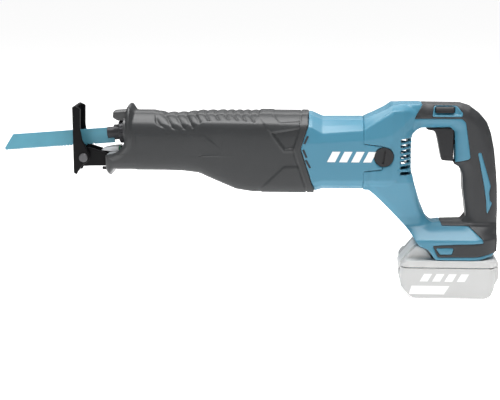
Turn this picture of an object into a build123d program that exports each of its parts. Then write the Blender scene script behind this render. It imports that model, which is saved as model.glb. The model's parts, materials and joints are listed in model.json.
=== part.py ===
"""Cordless reciprocating saw, in millimetres.

Frame: +X runs from the blade towards the handle, +Y to the tool's far side, +Z up.
The origin is the point where the blade's centre line crosses the working face of the shoe.
The stroke axis is tilted: it rises towards the handle, so that the blade points a little downwards.
"""

import os
from math import cos, radians, sin

from build123d import *

# ---------------------------------------------------------------- driving sizes
stroke = 32.0  # full travel of the blade
stroke_tilt = 4.5  # degrees that the stroke axis rises towards the rear
plunger_rise = 3.0  # height of the plunger's axis over the blade's centre line
plunger_radius = 6.5
crank_x = 228.0  # crank shaft
gear_ratio = 5  # armature turns for one turn of the crank
pinion_teeth = 8
gear_module = 1.35
motor_z = -14.0  # armature axis
brush_x = 354.7  # brush caps, over the commutator
stator_radius = 31.0
stator_front, stator_rear = 287.0, 338.0

body_half_width = 38.0  # motor housing
nose_half_width = 30.0
nose_x = 39.5  # front of the lower jaw
brow_x = 62.0  # front of the upper edge
split_x = 332.0  # joint between the motor housing and the handle halves
handle_half_width = 17.5
foot_half_width = 36.5
wall = 3.0  # rubber cover and plastic motor housing
casting_wall = 2.8
gap = 0.2  # between pieces that only lie next to each other
running = 0.05  # radial, shafts and the plunger in their bushes
free = 0.4  # between pieces that move past each other

blade_length = 150.0
blade_tip = -84.5  # place of the tip along the stroke axis
blade_height = 18.0
blade_thickness = 1.3
tooth_pitch = 3.6
tooth_depth = 1.4
shank_height = 12.4
shank_start = 45.4

shoe_half_width = 19.0
shoe_sheet = 2.5
shoe_pin_x, shoe_pin_z, shoe_pin_radius = 12.0, -20.6, 3.0
shoe_reach = 30.0  # how far the shoe slides out
arm_half_width = 12.0
arm_sheet = 2.5
arm_floor, arm_top, arm_end = -26.5, -17.2, 128.0
lock_x, lock_z, lock_radius = 88.0, -21.8, 3.4

trigger_half_width = 9.0
trigger_rear = 434.8
trigger_travel = 7.0
grip_rubber = 2.0
handle_wall = 4.5  # of the handle halves with their rubber

battery_half_width = 37.5
battery_front, battery_rear, battery_floor = 377.0, 484.0, -177.0
dock_z = -132.6  # underside of the foot
battery_split = -141.0
case_wall = 2.0
cell_radius = 9.1
cell_length = 65.0

crank_radius = stroke / 2
gear_radius = gear_module * pinion_teeth * gear_ratio / 2  # where the pitches of gear and pinion agree
pinion_radius = gear_module * pinion_teeth / 2
pitch_z = motor_z - pinion_radius  # the gear's pitch plane

os.makedirs("parts", exist_ok=True)


def finish(part, name):
    """Labels a finished piece and writes it as one STEP file."""
    part.label = name
    export_step(part, f"parts/{name}.step")


# ---------------------------------------------------------------- planes and plain bodies
tilt_cos, tilt_sin = cos(radians(stroke_tilt)), sin(radians(stroke_tilt))


def across(s):
    """The plane across the stroke axis at distance s behind the shoe: its x is +Y and its normal runs rearwards."""
    origin = (s * tilt_cos, 0, plunger_rise + s * tilt_sin)
    return Plane(origin=origin, x_dir=(0, 1, 0), z_dir=(tilt_cos, 0, tilt_sin))


def along(y=0.0):
    """The upright plane through the stroke axis: its x runs along the axis and its normal towards -Y."""
    return Plane(origin=(0, y, plunger_rise), x_dir=(tilt_cos, 0, tilt_sin), z_dir=(0, -1, 0))


def rod(start, end, radius, bore=0.0):
    """A round bar or tube on the stroke axis."""
    with BuildPart() as bar:
        with BuildSketch(across(start)):
            Circle(radius)
            if bore:
                Circle(bore, mode=Mode.SUBTRACT)
        extrude(amount=end - start)
    return bar.part


def disc(plane, radius, height, bore=0.0):
    """A round bar or tube that stands on a plane."""
    with BuildPart() as bar:
        with BuildSketch(plane):
            Circle(radius)
            if bore:
                Circle(bore, mode=Mode.SUBTRACT)
        extrude(amount=height)
    return bar.part


def block(x, y, z):
    """A box between the two values of x, y and z."""
    with BuildPart() as cuboid:
        with Locations(((x[0] + x[1]) / 2, (y[0] + y[1]) / 2, (z[0] + z[1]) / 2)):
            Box(x[1] - x[0], y[1] - y[0], z[1] - z[0])
    return cuboid.part


def prism(points, low=-60.0, high=60.0, inset=0.0, hole=None):
    """A side-view outline of (x, z) points, extruded across the tool from y = low to y = high."""
    with BuildPart() as slab:
        with BuildSketch(Plane.XZ.offset(-high)):
            with BuildLine():
                Polyline(*points, close=True)
            make_face()
            if hole:
                with BuildLine():
                    Polyline(*hole, close=True)
                make_face(mode=Mode.SUBTRACT)
            if inset:
                offset(amount=-inset, kind=Kind.INTERSECTION)
        extrude(amount=high - low)
    return slab.part


def across_x(x):
    """The plane across the motor axis at x: its x is +Y and its normal runs rearwards."""
    return Plane(origin=(x, 0, motor_z), x_dir=(0, 1, 0), z_dir=(1, 0, 0))


def facing_rear(x, y, z):
    """The plane across X at a point: its x is +Y and its normal runs rearwards."""
    return Plane(origin=(x, y, z), x_dir=(0, 1, 0), z_dir=(1, 0, 0))


def facing_right(x, y, z):
    """The plane across Y at a point: its x is +X and its normal runs towards +Y."""
    return Plane(origin=(x, y, z), x_dir=(1, 0, 0), z_dir=(0, 1, 0))


def bearing(plane, bore, radius, width):
    """A ball bearing as one ring, with a shallow groove for the shield on both faces."""
    with BuildPart() as ring:
        with BuildSketch(plane):
            Circle(radius)
            Circle(bore, mode=Mode.SUBTRACT)
        extrude(amount=width)
        for depth in (0, width - 0.6):
            with BuildSketch(plane.offset(depth)):
                Circle(radius - 1.6)
                Circle(bore + 1.6, mode=Mode.SUBTRACT)
            extrude(amount=0.6, mode=Mode.SUBTRACT)
    return ring.part


def screw(plane, head_radius, head_height, shank_radius, length):
    """A screw whose head's underside lies on the plane, with its shank along the plane's normal."""
    with BuildPart() as fastener:
        with BuildSketch(plane):
            Circle(shank_radius)
        extrude(amount=length)
        with BuildSketch(plane):
            Circle(head_radius)
        extrude(amount=-head_height)
        with BuildSketch(plane.offset(-head_height)):
            Rectangle(head_radius * 1.2, head_radius * 0.3)
            Rectangle(head_radius * 0.3, head_radius * 1.2)
        extrude(amount=head_height * 0.5, mode=Mode.SUBTRACT)
    return fastener.part


# ---------------------------------------------------------------- outer skin of the body
def skin(width, top, bottom, flat, belt, bevel):
    """Right half of one cross-section, from top centre to bottom centre, as (y, z) points."""
    return [
        (0, top),
        (flat, top - bevel * 0.1),
        ((flat + width - 2.5) / 2, top - bevel * 0.5),
        (width - 2.5, top - bevel),
        (width, belt),
        (width, bottom + 12),
        (width - 3.5, bottom + 6),
        (width - 11, bottom + 0.8),
        (0, bottom),
    ]


w, n = body_half_width, nose_half_width
FRONT_STATIONS = [
    # x, half width, top, bottom, half width of the flat top, widest height, depth of the shoulder
    (nose_x, n - 0.5, 32.0, -32.0, 12, 6, 13),
    (92.0, n, 32.0, -32.0, 12, 6, 13),
    (108.0, n, 29.0, -32.0, 13, 6, 11),
    (128.0, n + 1, 29.4, -32.0, 14, 6, 11),
    (146.0, n + 3, 32.6, -33.5, 17, 8, 11),
    (172.0, w - 2, 33.2, -46.0, 18, 8, 11),
    (206.0, w - 0.5, 33.4, -57.0, 18, 6, 11),
    (262.0, w, 33.6, -57.0, 18, 3, 13),
    (274.0, w, 32.0, -56.5, 17, 1, 13.5),
    (286.0, w, 26.8, -53.0, 17, 2, 15),
    (split_x, w, 26.8, -53.0, 17, 5, 11),
]
REAR_STATIONS = [
    (split_x, w, 26.8, -53.0, 17, 5, 11),
    (346.0, w, 33.0, -53.0, 18, 7, 7.5),
    (357.2, w - 0.5, 38.0, -53.0, 22, 9, 4.5),
    (364.0, w - 1.5, 42.6, -53.0, 24, 11, 5),
    (377.0, w - 7, 43.2, -53.0, 19, 22, 6),
    (388.0, w - 17, 43.4, -48.0, 12, 32, 7),
    (396.0, handle_half_width, 43.4, -46.0, 9, 28, 8),
]


def skin_solid(stations, inset, extend=0.0):
    """Loft through the cross-sections, all pulled in by inset, and lengthened at both ends by extend."""
    last = len(stations) - 1
    with BuildPart() as body:
        for i, (x, *shape) in enumerate(stations):
            half = skin(*shape)
            shift = -extend if i == 0 else extend if i == last else 0.0
            with BuildSketch(Plane.YZ.offset(x + shift)):
                with BuildLine():
                    Polyline(*half, *[(-y, z) for y, z in reversed(half[1:-1])], close=True)
                make_face()
                if inset:
                    offset(amount=-inset, kind=Kind.INTERSECTION)
        loft(ruled=True)
    return body.part


# The cover's front edge is C-shaped: the lower jaw reaches further forward than the brow.
MOUTH = [
    (20, 60),
    (brow_x, 60),
    (brow_x, 4),
    (60, -5),
    (54, -11),
    (46, -14.5),
    (nose_x, -14.5),
    (20, -14.5),
]


def chevron(shift):
    """Side-view points of the seam between the rubber cover and the motor housing, top to bottom."""
    return [
        (270.5 + shift, 60),
        (269.5 + shift, 20),
        (261.2 + shift, -5.3),
        (276.0 + shift, -51),
        (278.0 + shift, -70),
    ]


front_skin = skin_solid(FRONT_STATIONS, 0)
front_bed = skin_solid(FRONT_STATIONS, wall, extend=1)
casting_skin = skin_solid(FRONT_STATIONS, wall + gap, extend=0)
casting_void = skin_solid(FRONT_STATIONS, wall + gap + casting_wall, extend=0)
mouth_cut = prism(MOUTH)
behind_seam = prism([*chevron(0), (420, -70), (420, 60)])
before_seam = prism([*chevron(gap), (20, -70), (20, 60)])

# ---------------------------------------------------------------- rubber cover over the gear housing
guide_z, guide_radius, guide_front = -35.5, 2.0, 30.6
flange_depth = 6.0  # along X
flange_height = 3.5  # over the cover's sides
JAW_FLANGE = [
    (brow_x, 4),
    (brow_x + flange_depth, 4),
    (66, -8),
    (58, -16),
    (48, -21),
    (48, -32),
    (45, -38.5),
    (nose_x, -38.5),
    (nose_x, -14.5),
    (46, -14.5),
    (54, -11),
    (60, -5),
]
with BuildPart() as nose_cover:
    add(front_skin)
    add(behind_seam, mode=Mode.SUBTRACT)
    add(mouth_cut, mode=Mode.SUBTRACT)
    # Raised edge around the mouth: upright on the brow, sloping down to the lower jaw.
    rim = n + flange_height
    with BuildSketch(Plane.YZ.offset(brow_x)):
        with BuildLine():
            Polyline(
                (0, 40), (12, 39), (24, 33), (rim, 20), (rim, 4), (-rim, 4),
                (-rim, 20), (-24, 33), (-12, 39), close=True,
            )
        make_face()
    extrude(amount=flange_depth)
    add(prism(JAW_FLANGE, -rim, rim))
    with BuildSketch(Plane.XY.offset(-38.5)):
        with Locations((nose_x + 2.75, 0)):
            Rectangle(5.5, 2 * (n - 4))
    extrude(amount=8)
    add(front_bed, mode=Mode.SUBTRACT)
    # The lip below the jaw keeps a hole for the guide rod.
    add(disc(facing_rear(nose_x - 1, 0, guide_z), guide_radius, 8), mode=Mode.SUBTRACT)
    # Hole of the shoe's lock button, on the far side only.
    add(disc(facing_right(lock_x, 10, lock_z), lock_radius + free, 60), mode=Mode.SUBTRACT)
finish(nose_cover.part, "nose_cover")

# ---------------------------------------------------------------- gear housing and its cover
mouth_rear = 78.0
bulkhead = (92.0, 100.0)
bush_length = 14.0
front_bush_s = 97.0
rear_bush_s = 149.0
rear_bulkhead = (147.0, 164.0)
gear_room_end = 262.5
casting_end = 273.0
bush_radius = plunger_radius + 3.0
lever_bore = 16.4
seal_radius = 12.0
cover_split_z = 9.0
motor_bearing_radius, motor_bearing_width = 11.0, 7.0
front_bearing_x = casting_end - motor_bearing_width - 1.0
crank_bearing_radius, crank_bearing_width = 14.0, 7.0
crank_shaft_radius = 6.0
gear_top = pitch_z - gear_module * 1.25  # plain face of the gear, under its teeth
gear_disc = 9.0
crank_floor = gear_top - gear_disc - free  # top of the boss with the bearings
boss_bottom = -57.0 + wall + gap + 0.5
cover_bolts = [(156.0, 15.0), (156.0, -15.0), (267.8, 15.0), (267.8, -15.0)]
bolt_seat = 24.4
motor_screws = [(y, motor_z + z) for y in (-27.0, 27.0) for z in (-24.0, 24.0)]

with BuildPart() as casting:
    add(casting_skin)
    add(prism([(20, 60), (brow_x + 1, 60), (brow_x + 1, 4), (61, -5), (55, -12), (41, -15.5), (20, -15.5)]),
        mode=Mode.SUBTRACT)
    add(block((casting_end, 420), (-60, 60), (-90, 60)), mode=Mode.SUBTRACT)
    add(block((20, nose_x + 1), (-60, 60), (-90, 60)), mode=Mode.SUBTRACT)
    with BuildPart(mode=Mode.PRIVATE) as rooms:
        add(casting_void)
        add(block((mouth_rear, bulkhead[1]), (-60, 60), (-90, 60)), mode=Mode.SUBTRACT)
        add(block(rear_bulkhead, (-60, 60), (-90, 60)), mode=Mode.SUBTRACT)
        add(block((gear_room_end, 420), (-60, 60), (-90, 60)), mode=Mode.SUBTRACT)
        add(block((20, rear_bulkhead[1]), (-60, 60), (-90, -14.5)), mode=Mode.SUBTRACT)
        add(rod(bulkhead[0], rear_bush_s, bush_radius + 4), mode=Mode.SUBTRACT)
    add(rooms.part, mode=Mode.SUBTRACT)
    # Bores on the stroke axis, from the front: lever drum, seal, bushes, plunger.
    add(rod(60, bulkhead[0] + 0.5, lever_bore), mode=Mode.SUBTRACT)
    add(rod(bulkhead[0], front_bush_s, seal_radius), mode=Mode.SUBTRACT)
    add(rod(front_bush_s - 0.5, front_bush_s + bush_length, bush_radius), mode=Mode.SUBTRACT)
    add(rod(rear_bush_s, 175, bush_radius), mode=Mode.SUBTRACT)
    add(rod(60, 200, plunger_radius + free), mode=Mode.SUBTRACT)
    # Channel of the shoe's arm, under the mouth.
    add(block((20, arm_end + 2), (-arm_half_width - free, arm_half_width + free),
              (arm_floor - free, arm_top + free)), mode=Mode.SUBTRACT)
    add(block((20, 54), (-9, 9), (arm_top, -8)), mode=Mode.SUBTRACT)
    add(disc(facing_right(lock_x, arm_half_width - 2, lock_z), lock_radius + free, 30), mode=Mode.SUBTRACT)
    # Boss that carries the crank shaft's bearings.
    with BuildSketch(Plane.XY.offset(boss_bottom)):
        with Locations((crank_x, 0)):
            Circle(crank_bearing_radius + 4)
    extrude(amount=crank_floor - boss_bottom)
    add(disc(Plane((crank_x, 0, crank_floor + 1)), crank_bearing_radius, -2 * crank_bearing_width - 2),
        mode=Mode.SUBTRACT)
    add(disc(Plane((crank_x, 0, crank_floor + 1)), crank_shaft_radius + free, boss_bottom - crank_floor),
        mode=Mode.SUBTRACT)
    # Seat of the front motor bearing.
    add(disc(across_x(front_bearing_x), motor_bearing_radius, 20), mode=Mode.SUBTRACT)
    add(disc(across_x(gear_room_end - 5), motor_bearing_radius - 3, 30), mode=Mode.SUBTRACT)
    for x, y in cover_bolts:
        add(disc(Plane((x, y, bolt_seat)), 3.8, 20), mode=Mode.SUBTRACT)
        add(disc(Plane((x, y, bolt_seat - 26)), 2.0, 30), mode=Mode.SUBTRACT)
    for y, z in motor_screws:
        add(disc(facing_rear(casting_end - 9, y, z), 1.8, 20), mode=Mode.SUBTRACT)

with BuildPart() as gear_housing:
    add(casting.part)
    add(block((rear_bulkhead[0] + 3, 420), (-60, 60), (cover_split_z, 60)), mode=Mode.SUBTRACT)
finish(gear_housing.part, "gear_housing")

with BuildPart() as gear_housing_cover:
    add(casting.part)
    add(block((rear_bulkhead[0] + 3, 420), (-60, 60), (cover_split_z, 60)), mode=Mode.INTERSECT)
finish(gear_housing_cover.part, "gear_housing_cover")

with BuildPart() as housing_bolts:
    for x, y in cover_bolts:
        add(screw(Plane((x, y, bolt_seat), z_dir=(0, 0, -1)), 3.6, 2.6, 1.9, 24))
finish(housing_bolts.part, "housing_bolts")

with BuildPart() as guide_rod:
    with BuildSketch(facing_rear(guide_front, 0, guide_z)):
        Circle(guide_radius)
    extrude(amount=nose_x + 5 - guide_front)
    fillet(guide_rod.faces().sort_by(Axis.X)[0].edges(), 0.9)
finish(guide_rod.part, "guide_rod")

# ---------------------------------------------------------------- motor housing
TAB = [(split_x - 1, 0.6), (353.3, -2.0), (353.3, -28.3), (split_x - 1, -30.9)]
TAB_OPENING = [(split_x - 1, 0.6 + gap), (353.3 + gap, -2.0 + gap), (353.3 + gap, -28.3 - gap),
               (split_x - 1, -30.9 - gap)]
cap_radius = 10.7
brush_plane_left = Plane(origin=(brush_x, 0, motor_z), x_dir=(1, 0, 0), z_dir=(0, -1, 0))
brush_plane_right = Plane(origin=(brush_x, 0, motor_z), x_dir=(1, 0, 0), z_dir=(0, 1, 0))
rear_skin = skin_solid(REAR_STATIONS, 0)
rear_bed = skin_solid(REAR_STATIONS, wall, extend=1)

with BuildPart() as motor_housing:
    add(front_skin)
    add(before_seam, mode=Mode.SUBTRACT)
    with BuildPart(mode=Mode.PRIVATE) as motor_room:
        add(front_bed)
        # Ribs that hold the stator, and the wall behind the gear housing.
        for x in (stator_front + 3, stator_rear - 12):
            add(block((x, x + 4), (-60, 60), (-90, 60)), mode=Mode.SUBTRACT)
        add(disc(across_x(casting_end), stator_radius, split_x - casting_end))
    add(motor_room.part, mode=Mode.SUBTRACT)
    with BuildPart(mode=Mode.PRIVATE) as tabs:
        add(rear_skin)
        add(rear_bed, mode=Mode.SUBTRACT)
        add(prism(TAB), mode=Mode.INTERSECT)
    add(tabs.part)
    add(disc(brush_plane_left, cap_radius + gap, 50), mode=Mode.SUBTRACT)
    add(disc(brush_plane_right, cap_radius + gap, 50), mode=Mode.SUBTRACT)
finish(motor_housing.part, "motor_housing")

with BuildPart() as motor_housing_screws:
    for y, z in motor_screws:
        add(screw(Plane(origin=(casting_end, y, z), z_dir=(-1, 0, 0)), 3.6, 3.0, 1.7, 8))
finish(motor_housing_screws.part, "motor_housing_screws")

# ---------------------------------------------------------------- motor
shaft_radius = 4.0
fan_radius = 25.0
core_radius = 22.3
commutator_radius = 12.0
rear_bearing_x = 366.0
brush_width, brush_height = 5.0, 8.0

with BuildPart() as armature_shaft:
    add(disc(across_x(249.5), shaft_radius - 0.8, 12))
    add(disc(across_x(260), shaft_radius, rear_bearing_x + motor_bearing_width - 260))
finish(armature_shaft.part, "armature_shaft")

with BuildPart() as drive_pinion:
    root_radius = pinion_radius - gear_module * 1.1
    with BuildSketch(across_x(251.5)):
        Circle(root_radius)
        with PolarLocations(0, pinion_teeth, start_angle=-90):
            Polygon(
                (root_radius - 0.5, -1.1), (pinion_radius, -0.75), (pinion_radius + gear_module, -0.35),
                (pinion_radius + gear_module, 0.35), (pinion_radius, 0.75), (root_radius - 0.5, 1.1),
                align=None,
            )
        Circle(shaft_radius - 0.8, mode=Mode.SUBTRACT)
    extrude(amount=6.5)
finish(drive_pinion.part, "drive_pinion")

with BuildPart() as armature_bearings:
    add(bearing(across_x(front_bearing_x), shaft_radius, motor_bearing_radius, motor_bearing_width))
    add(bearing(across_x(rear_bearing_x), shaft_radius, motor_bearing_radius, motor_bearing_width))
finish(armature_bearings.part, "armature_bearings")

with BuildPart() as cooling_fan:
    with BuildSketch(across_x(casting_end + 4)):
        Circle(fan_radius)
        Circle(shaft_radius, mode=Mode.SUBTRACT)
    extrude(amount=1.6)
    with BuildSketch(across_x(casting_end + 5)):
        Circle(9)
        Circle(shaft_radius, mode=Mode.SUBTRACT)
        with PolarLocations(16.5, 12):
            Rectangle(16, 1.4, rotation=25)
    extrude(amount=7)
finish(cooling_fan.part, "cooling_fan")

with BuildPart() as armature_core:
    with BuildSketch(across_x(stator_front + 5)):
        Circle(core_radius)
        with PolarLocations(core_radius - 4, 12):
            SlotCenterToCenter(4, 4.4)
        with PolarLocations(core_radius, 12):
            Rectangle(5, 2, mode=Mode.SUBTRACT)
        Circle(shaft_radius, mode=Mode.SUBTRACT)
    extrude(amount=stator_rear - stator_front - 12)
finish(armature_core.part, "armature_core")

with BuildPart() as armature_windings:
    for start, end in ((stator_front, stator_front + 5), (stator_rear - 7, stator_rear)):
        add(disc(across_x(start), core_radius - 3, end - start, bore=shaft_radius))
    fillet(armature_windings.edges().filter_by(GeomType.CIRCLE).group_by(SortBy.RADIUS)[-1], 1.8)
finish(armature_windings.part, "armature_windings")

with BuildPart() as commutator:
    with BuildSketch(across_x(344)):
        Circle(commutator_radius)
        with PolarLocations(commutator_radius, 24):
            Rectangle(1.2, 0.5, mode=Mode.SUBTRACT)
        Circle(shaft_radius, mode=Mode.SUBTRACT)
    extrude(amount=18)
    with BuildSketch(across_x(341)):
        Circle(commutator_radius + 2)
        Circle(shaft_radius, mode=Mode.SUBTRACT)
    extrude(amount=3)
finish(commutator.part, "commutator")

with BuildPart() as stator_yoke:
    add(disc(across_x(stator_front), stator_radius, split_x - stator_front, bore=stator_radius - 2.5))
finish(stator_yoke.part, "stator_yoke")

with BuildPart() as stator_magnets:
    with BuildSketch(across_x(stator_front + 4)):
        Circle(stator_radius - 2.5)
        Circle(core_radius + free, mode=Mode.SUBTRACT)
        with PolarLocations(stator_radius - 5, 4, start_angle=45):
            Rectangle(20, 5, mode=Mode.SUBTRACT)
    extrude(amount=split_x - stator_front - 8)
finish(stator_magnets.part, "stator_magnets")

# Brushes press on the commutator from both sides, each behind a screw cap in the housing's side.
with BuildPart() as brush_holders:
    for plane in (brush_plane_left, brush_plane_right):
        with BuildSketch(plane.offset(commutator_radius + 1.5)):
            Rectangle(brush_width + 2.5, brush_height + 2.5)
            Rectangle(brush_width, brush_height, mode=Mode.SUBTRACT)
        extrude(amount=18)
finish(brush_holders.part, "brush_holders")

with BuildPart() as carbon_brushes:
    for plane in (brush_plane_left, brush_plane_right):
        with BuildSketch(plane.offset(commutator_radius + running)):
            Rectangle(brush_width - 2 * running, brush_height - 2 * running)
        extrude(amount=11)
finish(carbon_brushes.part, "carbon_brushes")

with BuildPart() as brush_springs:
    for plane in (brush_plane_left, brush_plane_right):
        add(disc(plane.offset(commutator_radius + running + 11), 2.0, 8.5, bore=1.3))
finish(brush_springs.part, "brush_springs")

with BuildPart() as brush_caps:
    for plane in (brush_plane_left, brush_plane_right):
        with BuildSketch(plane.offset(33)):
            Circle(cap_radius)
        extrude(amount=body_half_width + 0.4 - 33)
        with BuildSketch(plane.offset(body_half_width - 1.6)):
            Rectangle(2.2, 15, rotation=-8)
        extrude(amount=3, mode=Mode.SUBTRACT)
finish(brush_caps.part, "brush_caps")

# ---------------------------------------------------------------- crank
with BuildPart() as crank_shaft:
    add(disc(Plane((crank_x, 0, boss_bottom + 1.2)), crank_shaft_radius, gear_top - boss_bottom - 1.2))
finish(crank_shaft.part, "crank_shaft")

with BuildPart() as crank_bearings:
    for k in (0, 1):
        top = crank_floor - 0.3 - k * (crank_bearing_width + 0.6)
        add(bearing(Plane((crank_x, 0, top), z_dir=(0, 0, -1)), crank_shaft_radius + running,
                    crank_bearing_radius, crank_bearing_width))
finish(crank_bearings.part, "crank_bearings")

gear_teeth = pinion_teeth * gear_ratio
drum_radius = 21.0
drum_top = 6.0
pin_radius = 4.0
with BuildPart() as crank_gear:
    gear_rim = gear_radius + 3.0
    with BuildSketch(Plane((crank_x, 0, gear_top - gear_disc))):
        Circle(gear_rim)
        Circle(crank_shaft_radius, mode=Mode.SUBTRACT)
    extrude(amount=gear_disc)
    # Face teeth: radial ribs with as much room between them as the pinion's teeth need.
    with BuildSketch(Plane((crank_x, 0, gear_top - 0.5))):
        with PolarLocations(gear_radius, gear_teeth, start_angle=180 / gear_teeth):
            Rectangle(5.4, 1.15)
    extrude(amount=0.5 + gear_module * 1.8)
finish(crank_gear.part, "crank_gear")

with BuildPart() as crank_web:
    with BuildSketch(Plane((crank_x, 0, gear_top))):
        Circle(drum_radius)
        with Locations((0, 9), (8, 4), (-8, 4)):
            Circle(3.6, mode=Mode.SUBTRACT)
    extrude(amount=drum_top - gear_top)
    with BuildSketch(Plane((crank_x, -crank_radius, drum_top - 12))):
        Circle(pin_radius)
    extrude(amount=30, mode=Mode.SUBTRACT)
finish(crank_web.part, "crank_web")

roller_radius = 5.5
yoke_z = (8.5, 18.5)
yoke_half_width = crank_radius + roller_radius + 3.0
with BuildPart() as crank_pin:
    add(disc(Plane((crank_x, -crank_radius, drum_top - 12)), pin_radius, 12 + yoke_z[1] - drum_top + 1))
finish(crank_pin.part, "crank_pin")

with BuildPart() as crank_roller:
    add(disc(Plane((crank_x, -crank_radius, yoke_z[0] + 0.6)), roller_radius, 8.8, bore=pin_radius + running))
finish(crank_roller.part, "crank_roller")

# ---------------------------------------------------------------- plunger, bushes and clamp
# The crank and the plunger keep a constant ratio over the half turn, so the yoke's slot is wider than the
# roller by the difference between that line and the true sine.
sine_excess = crank_radius * 0.2105
slot_half = roller_radius + sine_excess + 0.3
plunger_front, plunger_rear = 38.0, 205.0
shank_end = blade_tip + blade_length
with BuildPart() as plunger:
    add(rod(plunger_front, plunger_rear, plunger_radius))
    add(block((199, crank_x + slot_half + 6), (-yoke_half_width, yoke_half_width), yoke_z))
    with BuildSketch(Plane.XY.offset(0)):
        with Locations((crank_x, 0)):
            Rectangle(2 * slot_half, 2 * (crank_radius + roller_radius + 0.4))
    extrude(amount=40, mode=Mode.SUBTRACT)
    # Slot for the blade's shank, and the hole of the clamp's cross pin.
    with BuildSketch(along(-blade_thickness / 2 - running)):
        with Locations((plunger_front + (shank_end + 0.6 - plunger_front) / 2 - 1, 0)):
            Rectangle(shank_end + 0.6 - plunger_front + 2, 40)
    extrude(amount=-blade_thickness - 2 * running, mode=Mode.SUBTRACT)
    add(disc(Plane(origin=across(58).origin + Vector(0, -20, 0), z_dir=(0, 1, 0)), 2.6, 40), mode=Mode.SUBTRACT)
finish(plunger.part, "plunger")

with BuildPart() as plunger_bushes:
    add(rod(front_bush_s, front_bush_s + bush_length, bush_radius, bore=plunger_radius + running))
    add(rod(rear_bush_s, rear_bush_s + bush_length, bush_radius, bore=plunger_radius + running))
finish(plunger_bushes.part, "plunger_bushes")

with BuildPart() as dust_seal:
    add(rod(bulkhead[0] + 0.6, front_bush_s - 0.2, seal_radius, bore=plunger_radius + 0.1))
    add(rod(bulkhead[0] + 0.6, bulkhead[0] + 2.4, seal_radius - 2, bore=plunger_radius + 1.5), mode=Mode.SUBTRACT)
finish(dust_seal.part, "dust_seal")

collar_radius = 8.8
sleeve_radius = 13.0
with BuildPart() as clamp_collar:
    add(rod(46, 70, collar_radius, bore=plunger_radius))
    add(disc(Plane(origin=across(58).origin + Vector(0, -20, 0), z_dir=(0, 1, 0)), 2.6, 40), mode=Mode.SUBTRACT)
finish(clamp_collar.part, "clamp_collar")

with BuildPart() as clamp_pin:
    add(disc(Plane(origin=across(58).origin + Vector(0, -collar_radius + 0.4, 0), z_dir=(0, 1, 0)), 2.6,
             2 * collar_radius - 0.8))
finish(clamp_pin.part, "clamp_pin")

with BuildPart() as clamp_sleeve:
    add(rod(52, 69.5, sleeve_radius, bore=collar_radius + 0.3))
    fillet(clamp_sleeve.edges().filter_by(GeomType.CIRCLE).group_by(SortBy.RADIUS)[-1], 1.2)
    with BuildSketch(across(49)):
        with PolarLocations(sleeve_radius, 12):
            Circle(1.0)
    extrude(amount=40, mode=Mode.SUBTRACT)
finish(clamp_sleeve.part, "clamp_sleeve")

with BuildPart() as clamp_spring:
    for s in (70.2, 71.6, 73.0):
        add(rod(s, s + 1.1, collar_radius + 1.0, bore=plunger_radius + running))
    add(rod(70.2, 74.1, plunger_radius + 1.2, bore=plunger_radius + running))
finish(clamp_spring.part, "clamp_spring")

# ---------------------------------------------------------------- blade
with BuildPart() as saw_blade:
    half = blade_height / 2
    low, high = -plunger_rise - half, -plunger_rise + half
    with BuildSketch(along(-blade_thickness / 2)):
        with BuildLine():
            Polyline(
                (blade_tip, low + 2.5), (blade_tip + 1.5, low), (shank_start, low),
                (shank_start, -shank_height / 2), (shank_end, -shank_height / 2),
                (shank_end, shank_height / 2), (shank_start, shank_height / 2 - 0.4),
                (shank_start - 4, high), (blade_tip + 11.5, high), close=True,
            )
        make_face()
        with Locations((58, 0)):
            Circle(2.65, mode=Mode.SUBTRACT)
    extrude(amount=-blade_thickness)
    # Gullets: one cut for each tooth, with the steep side towards the shoe.
    teeth = int((shank_start - 22 - blade_tip) / tooth_pitch)
    with BuildSketch(along(-blade_thickness)):
        for i in range(teeth):
            start = blade_tip + 3 + i * tooth_pitch
            with BuildLine():
                Polyline((start, low - 1), (start + tooth_pitch * 0.35, low + tooth_depth),
                         (start + tooth_pitch * 0.9, low - 1), close=True)
            make_face()
    extrude(amount=-2 * blade_thickness, mode=Mode.SUBTRACT)
finish(saw_blade.part, "saw_blade")

# ---------------------------------------------------------------- release lever of the clamp
thumb_back = brow_x - 1.2  # the tilted axis carries the thumb piece a little rearwards as it turns
lever_rise = 25.4  # reach of the thumb piece over the stroke axis
with BuildPart() as thumb_piece:
    with BuildSketch(across(0)):
        with BuildLine():
            Polyline((-7, 13.6), (-7, 23), (-5, lever_rise), (5, lever_rise), (7, 23), (7, 13.6), close=True)
        make_face()
    extrude(amount=66)
    add(prism([(44.8, 24.5), (45.2, 30.6), (47.2, 32.6), (thumb_back, 33.2), (thumb_back, 19),
               (55.6, 17.8), (46.5, 23)]), mode=Mode.INTERSECT)
with BuildPart() as release_lever:
    add(rod(61, bulkhead[0] - free, lever_bore - running - 0.2, bore=sleeve_radius + free))
    add(rod(58, 66, lever_bore + 0.8, bore=sleeve_radius + free))
    add(thumb_piece.part)
finish(release_lever.part, "release_lever")

# ---------------------------------------------------------------- shoe and its arm
SHOE_SIDE = [(0, 37.3), (3, 39), (9.4, 36), (8.9, 13.8), (11, 0), (18.5, -16), (18.5, -24), (8.5, -31.5),
             (3.5, -40.5), (0, -38.5)]
with BuildPart() as shoe:
    add(prism(SHOE_SIDE, -shoe_half_width, shoe_half_width))
    add(prism([(shoe_sheet, 36.3), (3 + shoe_sheet, 38), (40, 36), (40, -60), (shoe_sheet, -60)],
              -shoe_half_width + shoe_sheet, shoe_half_width - shoe_sheet), mode=Mode.SUBTRACT)
    fillet(shoe.faces().sort_by(Axis.X)[0].edges().filter_by(Axis.Z), 1.6)
    # Slot that the blade runs through.
    with BuildSketch(Plane.YZ):
        with Locations((0, 3.5)):
            SlotOverall(40, 11, rotation=90)
    extrude(amount=30, both=True, mode=Mode.SUBTRACT)
    add(disc(facing_right(shoe_pin_x, -30, shoe_pin_z), shoe_pin_radius + running, 60), mode=Mode.SUBTRACT)
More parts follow.
